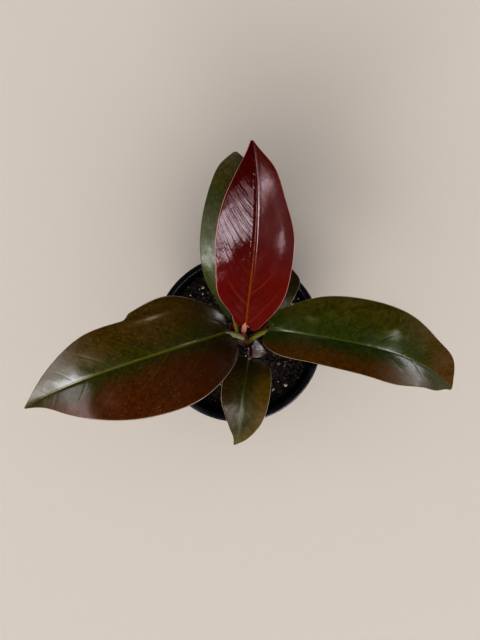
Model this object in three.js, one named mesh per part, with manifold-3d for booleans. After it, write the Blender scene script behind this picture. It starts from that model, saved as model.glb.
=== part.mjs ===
// Potted philodendron: a young plant with six leaves in a round nursery pot of potting soil.
// Millimetres, +Z up. The origin is the middle of the pot's underside, on the surface it stands on.
import * as THREE from 'three';
import { mergeVertices } from 'three/addons/utils/BufferGeometryUtils.js';
import Module from 'manifold-3d';

const wasm = await Module();
wasm.setup();

// ---- sizes -------------------------------------------------------------------------------
const POT_HEIGHT = 120;
const RIM_RADIUS = 76;
const BASE_RADIUS = 56;
const POT_WALL = 1.4;
const RIM_WIDTH = 5.5;
const RIM_SKIRT = 14;
const DRAIN_HOLES = 9;
const DRAIN_HOLE_RADIUS = 4.5;
const DRAIN_HOLE_INSET = 12;
const SOIL_BELOW_RIM = 12;
const SOIL_MOUND = 3;
const STEM_RADIUS = 6.5;
const STEM_TOP_RADIUS = 4.5;
const STEM_BURIED = 30;
const STEM_ABOVE_SOIL = 30;
const ROOT_COUNT = 6;
const ROOT_RADIUS = 2.4;
const LEAF_MARGIN_THICKNESS = 0.7;
const LEAF_RIB_THICKNESS = 1.8;
const PERLITE_COUNT = 20;
const FIT_GAP = 0.3;

const DRAIN_RING_RADIUS = BASE_RADIUS - DRAIN_HOLE_INSET;
const SOIL_TOP = POT_HEIGHT - SOIL_BELOW_RIM;
const STEM_TOP = SOIL_TOP + SOIL_MOUND + STEM_ABOVE_SOIL;
const STEM_FOOT = SOIL_TOP - STEM_BURIED;
const STEM_AXIS = new THREE.Vector2(3, -1);

// ---- materials ---------------------------------------------------------------------------
const FINISHES = {
  pot: [0x0c0d10, 0.25],
  soil: [0x1b1410, 0.95],
  root: [0xc9b48c, 0.7],
  stem: [0x6d5a34, 0.5],
  petioleGreen: [0x8d9248, 0.4],
  petioleRed: [0x7c2430, 0.35],
  leafGreen: [0x2f3a16, 0.3],
  leafBronze: [0x4c2f14, 0.3],
  leafRed: [0x6e120c, 0.22],
  cataphyll: [0x5a1016, 0.3],
  sheath: [0xc7b9aa, 0.6],
  perlite: [0xe9e2d2, 0.85],
};

const group = new THREE.Group();
group.name = 'potted_philodendron';

// ---- closed bodies -----------------------------------------------------------------------
// Welds a shape into one closed body, turned right side out if its faces point inward.
function toManifold(geometry) {
  const plain = geometry.clone();
  plain.deleteAttribute('normal');
  plain.deleteAttribute('uv');
  const welded = mergeVertices(plain, 1e-4);
  const corners = Array.from(welded.index.array);
  const make = () => new wasm.Manifold(new wasm.Mesh({
    numProp: 3,
    vertProperties: new Float32Array(welded.attributes.position.array),
    triVerts: new Uint32Array(corners),
  }));
  const body = make();
  if (body.volume() > 0) {
    return body;
  }
  for (let i = 0; i < corners.length; i += 3) {
    [corners[i], corners[i + 1]] = [corners[i + 1], corners[i]];
  }
  return make();
}

function toGeometry(manifold) {
  const mesh = manifold.getMesh();
  const geometry = new THREE.BufferGeometry();
  geometry.setAttribute('position', new THREE.BufferAttribute(new Float32Array(mesh.vertProperties), 3));
  geometry.setIndex(new THREE.BufferAttribute(new Uint32Array(mesh.triVerts), 1));
  geometry.computeVertexNormals();
  return geometry;
}

// Keeps only the largest body, so that a cut never leaves a loose sliver in a piece.
function largestBody(manifold) {
  const bodies = manifold.decompose();
  bodies.sort((a, b) => b.volume() - a.volume());
  return bodies[0];
}

function addPiece(name, manifold, finish) {
  const [color, roughness] = FINISHES[finish];
  const material = new THREE.MeshStandardMaterial({ color, roughness, metalness: 0 });
  const mesh = new THREE.Mesh(toGeometry(manifold), material);
  mesh.name = name;
  group.add(mesh);
}

// ---- shapes ------------------------------------------------------------------------------
function vectors(points) {
  return points.map(([x, y, z]) => new THREE.Vector3(x, y, z));
}

// A round rod along a curve; radiusAt gives its radius at each share of the length. A grown
// rod is larger all over, ends included, and is what cuts a clearance into its neighbours.
function rod(curve, radiusAt, rings, sides, grow = 0) {
  const geometry = new THREE.CylinderGeometry(1, 1, 1, sides, rings);
  const frames = curve.computeFrenetFrames(rings, false);
  const position = geometry.attributes.position;
  for (let i = 0; i < position.count; i += 1) {
    const share = position.getY(i) + 0.5;
    const ring = Math.round(share * rings);
    const radius = radiusAt(share) + grow;
    const point = curve.getPointAt(share);
    if (share === 0 || share === 1) {
      point.addScaledVector(frames.tangents[ring], (2 * share - 1) * grow);
    }
    point.addScaledVector(frames.normals[ring], position.getX(i) * radius);
    point.addScaledVector(frames.binormals[ring], -position.getZ(i) * radius);
    position.setXYZ(i, point.x, point.y, point.z);
  }
  return toManifold(geometry);
}

// Half of a leaf's outline. Distances along are shares of the length; widths are half widths
// in millimetres at 7, 22, 40, 58, 75 and 88 percent of it. The lobe reaches behind the joint.
const WIDTH_STATIONS = [0.07, 0.22, 0.4, 0.58, 0.75, 0.88];
const JOINT_HALF_WIDTH = 1.2;
const TIP_HALF_WIDTH = 0.4;

function marginCurve(widths, lobe, length) {
  const base = widths[0];
  const points = [
    [0, JOINT_HALF_WIDTH, 0],
    [-lobe, 0.3 * base, 0],
    [-0.6 * lobe, 0.55 * base, 0],
    [0.02 * length, 0.78 * base, 0],
  ];
  WIDTH_STATIONS.forEach((station, k) => points.push([station * length, widths[k], 0]));
  points.push([0.955 * length, 0.36 * widths[5], 0]);
  points.push([length, TIP_HALF_WIDTH, 0]);
  return new THREE.CatmullRomCurve3(vectors(points), false, 'centripetal');
}

// A leaf blade: a thin closed sheet whose rows follow the side veins. Each half leans up from
// the midrib by its fold and bends back by its curl (degrees); roll turns the whole blade.
function blade(leaf) {
  const rib = new THREE.CubicBezierCurve3(...vectors(leaf.rib));
  const length = rib.getLength();
  const margins = {
    left: marginCurve(leaf.left.widths, leaf.left.lobe, length),
    right: marginCurve(leaf.right.widths, leaf.right.lobe, length),
  };
  const up = new THREE.Vector3(0, 0, 1);
  const geometry = new THREE.BoxGeometry(1, 1, 1, leaf.rows, leaf.columns, 1);
  const position = geometry.attributes.position;
  for (let i = 0; i < position.count; i += 1) {
    const share = position.getX(i) + 0.5;
    const across = position.getY(i) * 2;
    const underside = 0.5 - position.getZ(i);
    const side = across >= 0 ? 'left' : 'right';
    const half = leaf[side];
    const outward = Math.abs(across) ** 1.4;
    const margin = margins[side].getPointAt(share);
    const start = length * share ** 1.15;
    const along = start + (margin.x - start) * outward ** 1.2;
    const reach = margin.y * outward;
    const inside = THREE.MathUtils.clamp(along / length, 0, 1);
    const point = rib.getPointAt(inside);
    const tangent = rib.getTangentAt(inside);
    point.addScaledVector(tangent, along - inside * length);
    const sideways = new THREE.Vector3().crossVectors(up, tangent).normalize();
    const normal = new THREE.Vector3().crossVectors(tangent, sideways);
    const widest = Math.max(...half.widths);
    const lean = half.fold + 0.5 * half.curl * (reach / widest);
    const angle = THREE.MathUtils.degToRad(across >= 0 ? lean + leaf.roll : lean - leaf.roll);
    const sign = across >= 0 ? 1 : -1;
    point.addScaledVector(sideways, sign * reach * Math.cos(angle));
    point.addScaledVector(normal, reach * Math.sin(angle));
    const ridge = LEAF_RIB_THICKNESS * Math.exp(-((reach / 3) ** 2)) * (1 - 0.7 * share);
    point.addScaledVector(normal, -underside * (LEAF_MARGIN_THICKNESS + ridge * leaf.ribScale));
    position.setXYZ(i, point.x, point.y, point.z);
  }
  return toManifold(geometry);
}

// ---- nursery pot -------------------------------------------------------------------------
const WALL_SLOPE = (RIM_RADIUS - RIM_WIDTH - BASE_RADIUS) / POT_HEIGHT;
const BORE_RADIUS = RIM_RADIUS - RIM_WIDTH;

function potInnerRadius(z) {
  return BORE_RADIUS - (POT_HEIGHT - z) * WALL_SLOPE;
}

const potProfile = [
  [0, 0],
  [BASE_RADIUS - 1, 0],
  [BASE_RADIUS + POT_WALL * 0.5, 1.2],
  [potInnerRadius(POT_HEIGHT - 6) + POT_WALL, POT_HEIGHT - 6],
  [BORE_RADIUS + POT_WALL + 0.6, POT_HEIGHT - POT_WALL - 0.6],
  [RIM_RADIUS - POT_WALL - 0.6, POT_HEIGHT - POT_WALL],
  [RIM_RADIUS - POT_WALL - 0.4, POT_HEIGHT - RIM_SKIRT],
  [RIM_RADIUS - 0.4, POT_HEIGHT - RIM_SKIRT],
  [RIM_RADIUS, POT_HEIGHT - 1.6],
  [RIM_RADIUS - 0.5, POT_HEIGHT - 0.5],
  [RIM_RADIUS - 1.6, POT_HEIGHT],
  [BORE_RADIUS + 1.2, POT_HEIGHT],
  [BORE_RADIUS + 0.3, POT_HEIGHT - 0.4],
  [BORE_RADIUS, POT_HEIGHT - 1.2],
  [potInnerRadius(POT_WALL + 1), POT_WALL + 1],
  [potInnerRadius(POT_WALL) - 1, POT_WALL],
  [0, POT_WALL],
].map(([r, z]) => new THREE.Vector2(r, z));

function latheZ(profile, sides) {
  const geometry = new THREE.LatheGeometry(profile, sides);
  geometry.rotateX(Math.PI / 2);
  return toManifold(geometry);
}

let pot = latheZ(potProfile, 48);
const hole = wasm.Manifold.cylinder(POT_WALL * 4, DRAIN_HOLE_RADIUS, DRAIN_HOLE_RADIUS, 14);
for (let k = 0; k < DRAIN_HOLES; k += 1) {
  const turn = (k / DRAIN_HOLES) * 2 * Math.PI;
  const x = DRAIN_RING_RADIUS * Math.cos(turn);
  const y = DRAIN_RING_RADIUS * Math.sin(turn);
  pot = pot.subtract(hole.translate([x, y, -POT_WALL]));
}
addPiece('nursery_pot', pot, 'pot');

// ---- stem and roots ----------------------------------------------------------------------
const stemCurve = new THREE.CatmullRomCurve3(vectors([
  [STEM_AXIS.x, STEM_AXIS.y, STEM_FOOT],
  [STEM_AXIS.x, STEM_AXIS.y, SOIL_TOP],
  [STEM_AXIS.x + 1, STEM_AXIS.y + 2, STEM_TOP],
]));
const stemLength = stemCurve.getLength();

// Swells a little at each ring where a leaf stalk is joined.
function stemRadius(share) {
  const taper = STEM_RADIUS + (STEM_TOP_RADIUS - STEM_RADIUS) * share;
  const ring = 0.5 * Math.max(0, Math.cos((share * stemLength * 2 * Math.PI) / 10));
  return taper + ring;
}

function stemBody(grow) {
  return rod(stemCurve, stemRadius, 24, 16, grow);
}
addPiece('stem', stemBody(0), 'stem');

// The crown of the roots sits under the stem; main roots run out and down from it.
const crownTop = STEM_FOOT - FIT_GAP;
const CROWN_HEIGHT = 12;

function crown(grow) {
  const curve = new THREE.LineCurve3(
    new THREE.Vector3(STEM_AXIS.x, STEM_AXIS.y, crownTop - CROWN_HEIGHT),
    new THREE.Vector3(STEM_AXIS.x, STEM_AXIS.y, crownTop),
  );
  return rod(curve, () => STEM_RADIUS, 2, 14, grow);
}

function mainRoot(k, grow) {
  const turn = (k / ROOT_COUNT) * 2 * Math.PI + 0.4;
  const reach = 30 + 5 * (k % 3);
  const drop = 34 + 6 * ((k * 2) % 3);
  const at = (share, fall) => [
    STEM_AXIS.x + reach * share * Math.cos(turn + 0.5 * share),
    STEM_AXIS.y + reach * share * Math.sin(turn + 0.5 * share),
    crownTop - CROWN_HEIGHT * 0.5 - fall,
  ];
  const curve = new THREE.CatmullRomCurve3(vectors([
    at(0.05, 0), at(0.35, drop * 0.2), at(0.75, drop * 0.55), at(1, drop),
  ]));
  return rod(curve, (share) => ROOT_RADIUS * (1 - 0.6 * share), 8, 7, grow);
}

function rootMass(grow) {
  let body = crown(grow);
  for (let k = 0; k < ROOT_COUNT; k += 1) {
    body = body.add(mainRoot(k, grow));
  }
  return body;
}

const roots = rootMass(0);
addPiece('roots', roots, 'root');

// ---- potting soil ------------------------------------------------------------------------
const soilFloor = POT_WALL + FIT_GAP;
const soilProfile = [
  [0, soilFloor],
  [potInnerRadius(soilFloor) - FIT_GAP - 1, soilFloor],
  [potInnerRadius(soilFloor + 1) - FIT_GAP, soilFloor + 1],
  [potInnerRadius(SOIL_TOP) - FIT_GAP, SOIL_TOP],
  [potInnerRadius(SOIL_TOP) * 0.6, SOIL_TOP + SOIL_MOUND * 0.5],
  [STEM_RADIUS * 2, SOIL_TOP + SOIL_MOUND],
  [0, SOIL_TOP + SOIL_MOUND],
].map(([r, z]) => new THREE.Vector2(r, z));

function soilHeight(radius) {
  const edge = potInnerRadius(SOIL_TOP) - FIT_GAP;
  const shoulder = potInnerRadius(SOIL_TOP) * 0.6;
  if (radius > shoulder) {
    return SOIL_TOP + SOIL_MOUND * 0.5 * ((edge - radius) / (edge - shoulder));
  }
  const share = Math.min(1, (shoulder - radius) / (shoulder - STEM_RADIUS * 2));
  return SOIL_TOP + SOIL_MOUND * 0.5 * (1 + share);
}

const soil = latheZ(soilProfile, 48).subtract(stemBody(FIT_GAP)).subtract(rootMass(FIT_GAP));
addPiece('potting_soil', largestBody(soil), 'soil');

// ---- leaf stalks and leaf blades ---------------------------------------------------------
// rib: four control points of the midrib, joint first; heights are above the soil at the pot's wall.
const LEAVES = [
  {
    name: 'left', finish: 'leafBronze', stalkFinish: 'petioleGreen',
    rib: [[-8, 7, 78], [-58, -8, 139], [-133, -30, 90], [-178, -57, 58]],
    left: { widths: [30, 43, 44, 36, 22, 8], lobe: 4, fold: 12, curl: -16 },
    right: { widths: [26, 40, 35, 32, 21, 10], lobe: 0, fold: 12, curl: -16 },
    roll: 3, rows: 20, columns: 10, ribScale: 1,
    stalk: { root: [-3, -2, 14], bend: [-9, 0, 46], radius: 3.4 },
  },
  {
    name: 'right', finish: 'leafGreen', stalkFinish: 'petioleGreen',
    rib: [[24, 9, 78], [79, 2, 125], [148, -7, 81], [182, -43, 44]],
    left: { widths: [19, 31, 35, 33, 24, 18], lobe: 0, fold: 6, curl: -10 },
    right: { widths: [19, 22, 24, 25, 18, 12], lobe: 2, fold: 26, curl: -6 },
    roll: 0, rows: 20, columns: 10, ribScale: 1,
    stalk: { root: [8, -3, 18], bend: [18, 0, 46], radius: 3.2 },
  },
  {
    name: 'new', finish: 'leafRed', stalkFinish: 'petioleRed',
    rib: [[6, 14, 90], [9, 50, 121], [17, 85, 160], [9, 134, 168]],
    left: { widths: [12, 24, 28, 29, 24, 13], lobe: 2, fold: 26, curl: -8 },
    right: { widths: [18, 27, 29, 28, 20, 13], lobe: 6, fold: 22, curl: -14 },
    roll: 0, rows: 20, columns: 10, ribScale: 1,
    stalk: { root: [4, 2, 24], bend: [3, 4, 62], radius: 3 },
  },
  {
    name: 'back_left', finish: 'leafGreen', stalkFinish: 'petioleGreen',
    rib: [[-4, 20, 72], [-4, 51, 102], [-3, 110, 142], [-2, 146, 96]],
    left: { widths: [12, 23, 27, 25, 19, 12], lobe: 2, fold: -4, curl: -26 },
    right: { widths: [15, 24, 27, 25, 18, 10], lobe: 2, fold: 10, curl: -10 },
    roll: 0, rows: 18, columns: 10, ribScale: 1,
    stalk: { root: [0, 4, 12], bend: [-2, 12, 42], radius: 2.8 },
  },
  {
    name: 'front', finish: 'leafGreen', stalkFinish: 'petioleRed',
    rib: [[9, -17, 48], [3, -43, 67], [4, -72, 44], [-4, -93, 30]],
    left: { widths: [19, 22, 22, 19, 13, 7], lobe: 2, fold: 14, curl: 0 },
    right: { widths: [15, 19, 19, 14, 8, 3], lobe: 1, fold: 14, curl: 0 },
    roll: 0, rows: 14, columns: 8, ribScale: 0.7,
    stalk: { root: [6, -6, 10], bend: [9, -10, 28], radius: 2.2 },
  },
  {
    name: 'back_right', finish: 'leafGreen', stalkFinish: 'petioleGreen',
    rib: [[27, 18, 42], [30, 31, 51], [39, 47, 74], [41, 64, 58]],
    left: { widths: [12, 15, 15, 13, 9, 5], lobe: 1, fold: 12, curl: 0 },
    right: { widths: [10, 11, 12, 13, 13, 5], lobe: 1, fold: 12, curl: 0 },
    roll: 0, rows: 12, columns: 8, ribScale: 0.6,
    stalk: { root: [8, 2, 8], bend: [20, 8, 16], radius: 2 },
  },
];

// Each stalk starts inside the stem and ends in its blade's midrib, where it is cut free.
const STALK_INTO_BLADE = 4;

function stalkCurve(leaf) {
  const lift = ([x, y, z]) => new THREE.Vector3(x, y, z + SOIL_TOP);
  const joint = lift(leaf.rib[0]);
  const next = lift(leaf.rib[1]);
  const into = new THREE.Vector3().subVectors(next, joint).normalize();
  const end = joint.clone().addScaledVector(into, STALK_INTO_BLADE);
  end.z -= LEAF_MARGIN_THICKNESS + LEAF_RIB_THICKNESS * 0.5;
  return new THREE.CatmullRomCurve3([lift(leaf.stalk.root), lift(leaf.stalk.bend), end]);
}

function stalkBody(leaf, grow) {
  const radiusAt = (share) => leaf.stalk.radius * (1.35 - 0.6 * Math.min(1, share * 2.2));
  return rod(stalkCurve(leaf), radiusAt, 10, 10, grow);
}

let taken = stemBody(FIT_GAP);
LEAVES.forEach((leaf) => {
  addPiece(`stalk_${leaf.name}`, largestBody(stalkBody(leaf, 0).subtract(taken)), leaf.stalkFinish);
  taken = taken.add(stalkBody(leaf, FIT_GAP));
});
LEAVES.forEach((leaf) => {
  const rib = leaf.rib.map(([x, y, z]) => [x, y, z + SOIL_TOP]);
  const body = blade({ ...leaf, rib }).subtract(stalkBody(leaf, FIT_GAP));
  addPiece(`leaf_${leaf.name}`, largestBody(body), leaf.finish);
});

// ---- sheaths at the foot of the stem -----------------------------------------------------
const SHEATHS = [
  {
    name: 'cataphyll', finish: 'cataphyll',
    rib: [[-3, 7, 12], [-5, 9, 26], [-6, 11, 36], [-7, 13, 48]],
    left: { widths: [3, 4, 4, 3.4, 2.4, 1.4], lobe: 0, fold: 30, curl: 0 },
    right: { widths: [3, 4, 4, 3.4, 2.4, 1.4], lobe: 0, fold: 30, curl: 0 },
    roll: 0, rows: 8, columns: 4, ribScale: 0,
  },
  {
    name: 'dry_sheath', finish: 'sheath',
    rib: [[12, -8, 6], [15, -10, 14], [19, -12, 17], [25, -13, 19]],
    left: { widths: [6, 8, 8, 7, 5, 3], lobe: 0, fold: 10, curl: 20 },
    right: { widths: [6, 8, 9, 7, 5, 3], lobe: 0, fold: 10, curl: 20 },
    roll: 0, rows: 8, columns: 6, ribScale: 0,
  },
];
SHEATHS.forEach((sheath) => {
  const rib = sheath.rib.map(([x, y, z]) => [x, y, z + SOIL_TOP]);
  const body = blade({ ...sheath, rib }).subtract(taken);
  addPiece(sheath.name, largestBody(body), sheath.finish);
});

// ---- perlite grains ----------------------------------------------------------------------
// White grains lie on the soil at steps of the golden angle, clear of the stem and the rim.
const GOLDEN_ANGLE = Math.PI * (3 - Math.sqrt(5));
for (let k = 0; k < PERLITE_COUNT; k += 1) {
  const size = 1.5 + 0.35 * (k % 4);
  const spread = Math.sqrt((k + 1.5) / (PERLITE_COUNT + 1));
  const radius = 20 + (potInnerRadius(SOIL_TOP) - 26) * spread;
  const turn = k * GOLDEN_ANGLE;
  const grain = new THREE.IcosahedronGeometry(size, 0);
  grain.scale(1, 0.85, 0.7);
  grain.rotateZ(turn * 3);
  grain.translate(radius * Math.cos(turn), radius * Math.sin(turn), 0);
  const body = toManifold(grain);
  const lift = soilHeight(radius - size) + FIT_GAP - body.boundingBox().min[2];
  const number = String(k + 1).padStart(2, '0');
  addPiece(`perlite_${number}`, body.translate([0, 0, lift]), 'perlite');
}

export default group;
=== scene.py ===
import bisect
import bpy
import math
import random
from mathutils import Matrix, Vector, noise


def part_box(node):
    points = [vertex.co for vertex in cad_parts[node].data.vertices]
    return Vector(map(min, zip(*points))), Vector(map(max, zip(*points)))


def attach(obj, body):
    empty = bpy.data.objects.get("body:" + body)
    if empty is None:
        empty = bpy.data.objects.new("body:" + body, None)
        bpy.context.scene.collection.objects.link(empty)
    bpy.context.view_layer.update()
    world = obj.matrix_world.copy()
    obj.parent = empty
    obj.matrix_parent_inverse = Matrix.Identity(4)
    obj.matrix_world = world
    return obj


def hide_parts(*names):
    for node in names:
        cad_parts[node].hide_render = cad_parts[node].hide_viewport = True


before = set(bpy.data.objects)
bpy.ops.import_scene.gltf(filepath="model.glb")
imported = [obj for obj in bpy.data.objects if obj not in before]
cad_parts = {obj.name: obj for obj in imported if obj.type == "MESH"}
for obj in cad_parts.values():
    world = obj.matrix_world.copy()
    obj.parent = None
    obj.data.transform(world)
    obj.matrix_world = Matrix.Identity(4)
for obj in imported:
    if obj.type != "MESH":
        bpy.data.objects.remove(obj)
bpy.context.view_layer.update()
MM = 0.001


# ---- Camera, floor and light ---------------------------------------
# The plant is looked at from straight above, from a little over half a metre above the rim.
# It stands on a plain pale floor. Soft daylight falls from above and from the front, and pale
# windows far off to the sides only show as reflections in the glossy leaves.
CAMERA_PLACE = Vector((1.45, 16.6, 680.0)) * MM
CAMERA_LENS = 34.8
FLOOR_SIZE = 6.0

camera_data = bpy.data.cameras.new("camera")
camera_data.lens = CAMERA_LENS
camera_data.sensor_width = 36.0
camera_data.clip_start = 0.01
camera = bpy.data.objects.new("camera", camera_data)
camera.location = CAMERA_PLACE
bpy.context.scene.collection.objects.link(camera)
bpy.context.scene.camera = camera
bpy.context.scene.view_settings.view_transform = "Standard"
bpy.context.scene.view_settings.look = "High Contrast"


def new_material(name, roughness=0.5):
    """A material with its tree and its one shader."""
    material = bpy.data.materials.new(name)
    material.use_nodes = True
    tree = material.node_tree
    shader = tree.nodes["Principled BSDF"]
    shader.inputs["Roughness"].default_value = roughness
    return material, tree, shader


def add_node(tree, kind, inputs=None, **settings):
    """A node with its settings, and its inputs by name or number: a value, or a socket to link."""
    node = tree.nodes.new(kind)
    for key, value in settings.items():
        setattr(node, key, value)
    for key, value in (inputs or {}).items():
        if isinstance(value, bpy.types.NodeSocket):
            tree.links.new(value, node.inputs[key])
        else:
            node.inputs[key].default_value = value
    return node


def maths(tree, operation, a, b=0.0, c=0.0):
    """The result of one sum on one to three values."""
    return add_node(tree, "ShaderNodeMath", {0: a, 1: b, 2: c}, operation=operation).outputs[0]


def blend_colour(tree, share, first, second):
    """The first colour where share is 0 and the second where it is 1."""
    inputs = {"Factor": share, 6: first, 7: second}
    return add_node(tree, "ShaderNodeMix", inputs, data_type="RGBA", clamp_factor=True).outputs[2]


def ramp(tree, value, low, high, start=0.0, end=1.0):
    """Goes smoothly from start to end as value goes from low to high."""
    node = add_node(
        tree, "ShaderNodeMapRange",
        {"Value": value, "From Min": low, "From Max": high, "To Min": start, "To Max": end},
        interpolation_type="SMOOTHSTEP")
    return node.outputs["Result"]


def rgb(red, green, blue):
    """A colour from the 0 to 255 numbers that a screen shows."""
    def linear(level):
        share = level / 255
        return share / 12.92 if share <= 0.04045 else ((share + 0.055) / 1.055) ** 2.4
    return (linear(red), linear(green), linear(blue), 1.0)


bpy.ops.object.select_all(action="DESELECT")
bpy.ops.mesh.primitive_plane_add(size=FLOOR_SIZE)
floor = bpy.context.object
floor.name = "floor"
floor_material, tree, shader = new_material("floor_pale", roughness=0.8)
shader.inputs["Base Color"].default_value = rgb(210, 203, 196)
floor.data.materials.append(floor_material)

world = bpy.data.worlds.new("studio")
world.use_nodes = True
bpy.context.scene.world = world
sky_tree = world.node_tree
sky_place = add_node(sky_tree, "ShaderNodeTexCoord").outputs["Generated"]
sky_height = add_node(sky_tree, "ShaderNodeSeparateXYZ", {0: sky_place}).outputs["Z"]
SKY_OVERHEAD = 0.012
SKY_HORIZON = 0.2
BACKDROP = 0.56
SKY_TINT = (0.94, 0.92, 1.0, 1.0)
BACKDROP_TINT = (0.96, 0.91, 0.85, 1.0)
background = sky_tree.nodes["Background"]
seen_directly = add_node(sky_tree, "ShaderNodeLightPath").outputs["Is Camera Ray"]
sky_colour = blend_colour(sky_tree, seen_directly, SKY_TINT, BACKDROP_TINT)
sky_tree.links.new(sky_colour, background.inputs["Color"])
sky_strength = ramp(sky_tree, sky_height, 0.25, 0.8, SKY_HORIZON, SKY_OVERHEAD)
backdrop_strength = maths(sky_tree, "MULTIPLY", seen_directly, BACKDROP)
sky_strength = maths(sky_tree, "MAXIMUM", sky_strength, backdrop_strength)
sky_tree.links.new(sky_strength, background.inputs["Strength"])
PLANT_MIDDLE = Vector((0.0, 0.02, 0.2))
LAMP_DISTANCE = 4.0
WINDOW_TINT = (0.95, 0.93, 1.0)
DAYLIGHT_TINT = (1.0, 0.97, 0.93)


def away_from_plant(turn, rise):
    """The direction out from the plant at a compass turn and a rise, in degrees."""
    turn, rise = math.radians(turn), math.radians(rise)
    return Vector((math.cos(turn) * math.cos(rise), math.sin(turn) * math.cos(rise), math.sin(rise)))


def add_lamp(name, light, away, tint):
    """Puts a lamp out in one direction, turned to the plant, and keeps it out of sight."""
    light.color = tint
    lamp = bpy.data.objects.new(name, light)
    lamp.location = PLANT_MIDDLE + away * LAMP_DISTANCE
    lamp.rotation_euler = (-away).to_track_quat("-Z", "Y").to_euler()
    lamp.visible_camera = False
    bpy.context.scene.collection.objects.link(lamp)
    return lamp


def add_window(name, turn, rise, width, height, brightness):
    """A pale shape that only shows in glossy faces. Its sides are in degrees, seen from the plant."""
    light = bpy.data.lights.new(name, "AREA")
    light.shape = "RECTANGLE"
    light.size = math.radians(width) * LAMP_DISTANCE
    light.size_y = math.radians(height) * LAMP_DISTANCE
    light.energy = brightness * light.size * light.size_y
    lamp = add_lamp(name, light, away_from_plant(turn, rise), WINDOW_TINT)
    lamp.visible_diffuse = False


def add_daylight(name, turn, rise, strength, softness):
    """Even soft light from one side, with no reflection. Its softness is in degrees."""
    light = bpy.data.lights.new(name, "SUN")
    light.energy = strength
    light.angle = math.radians(softness)
    lamp = add_lamp(name, light, away_from_plant(turn, rise), DAYLIGHT_TINT)
    lamp.visible_glossy = False


# each window has a compass turn, a rise, a width and a height in degrees, and its brightness
WINDOWS = {
    "front": (301, 20.5, 30, 17, 42.0),
    "side": (325, 31, 16, 15, 16.0),
    "left": (205, 18, 56, 15, 15.0),
    "corner": (220, 17, 19, 17, 38.0),
    "dim": (248, 34, 30, 26, 2.0),
    "right": (10, 0.5, 34, 11, 24.0),
    "back": (100, 16, 40, 13, 5.0),
}
for window_name, window in WINDOWS.items():
    add_window("window_" + window_name, *window)
add_daylight("daylight_high", turn=250, rise=76, strength=1.3, softness=100)
add_daylight("daylight_low", turn=258, rise=32, strength=1.7, softness=50)


# ---- Nursery pot ---------------------------------------------------
# A thin round pot of glossy black plastic, moulded in one piece, wider at the top. Its rim is
# a band turned out and down, and nine round drain holes go through the floor near its edge.
POT_HEIGHT = 120.0
RIM_RADIUS = 76.0
BASE_RADIUS = 56.0
POT_WALL = 1.4
RIM_WIDTH = 5.5
RIM_SKIRT = 14.0
DRAIN_HOLES = 9
DRAIN_HOLE_RADIUS = 4.5
DRAIN_HOLE_INSET = 12.0
DRAIN_RING_RADIUS = BASE_RADIUS - DRAIN_HOLE_INSET
BORE_RADIUS = RIM_RADIUS - RIM_WIDTH
WALL_SLOPE = (BORE_RADIUS - BASE_RADIUS) / POT_HEIGHT


def pot_inner_radius(height):
    """The radius of the pot's inside, in mm, at a height."""
    return BORE_RADIUS - (POT_HEIGHT - height) * WALL_SLOPE


def leave_edit_mode():
    """Turns all faces outward first."""
    bpy.ops.mesh.select_all(action="SELECT")
    bpy.ops.mesh.normals_make_consistent(inside=False)
    bpy.ops.object.mode_set(mode="OBJECT")


def turned_solid(name, profile, sides):
    """A solid of revolution: a ring is extruded up, in and out along a profile of (radius, height) in mm."""
    bpy.ops.object.select_all(action="DESELECT")
    radius, height = profile[0]
    bpy.ops.mesh.primitive_circle_add(
        vertices=sides, radius=radius * MM, location=(0, 0, height * MM), fill_type="NGON")
    piece = bpy.context.object
    piece.name = name
    bpy.ops.object.transform_apply(location=True, rotation=True, scale=True)
    bpy.ops.object.mode_set(mode="EDIT")
    bpy.ops.mesh.select_all(action="SELECT")
    for next_radius, next_height in profile[1:]:
        bpy.ops.mesh.extrude_region_move(
            TRANSFORM_OT_translate={"value": (0, 0, (next_height - height) * MM)})
        scale = next_radius / radius
        bpy.ops.transform.resize(value=(scale, scale, 1), center_override=(0, 0, next_height * MM))
        radius, height = next_radius, next_height
    leave_edit_mode()
    return piece


def choose(piece):
    """Makes a piece the only chosen one."""
    bpy.ops.object.select_all(action="DESELECT")
    bpy.context.view_layer.objects.active = piece
    piece.select_set(True)


def apply_modifier(piece, name, kind, **settings):
    """Adds one modifier with its settings and applies it."""
    choose(piece)
    modifier = piece.modifiers.new(name, kind)
    for key, value in settings.items():
        setattr(modifier, key, value)
    bpy.ops.object.modifier_apply(modifier=modifier.name)


def smooth(piece, angle=40):
    """Rounds the shading over edges flatter than the angle, in degrees."""
    choose(piece)
    bpy.ops.object.shade_smooth_by_angle(angle=math.radians(angle))


def own_place(tree):
    """The place on a piece that a pattern is read at, in metres."""
    return add_node(tree, "ShaderNodeTexCoord").outputs["Object"]


def patchy(tree, place, scale, detail, harshness=0.5):
    """A soft uneven pattern from 0 to 1, with more and smaller patches at a larger scale."""
    inputs = {"Vector": place, "Scale": scale, "Detail": detail, "Roughness": harshness}
    return add_node(tree, "ShaderNodeTexNoise", inputs).outputs["Fac"]


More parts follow.
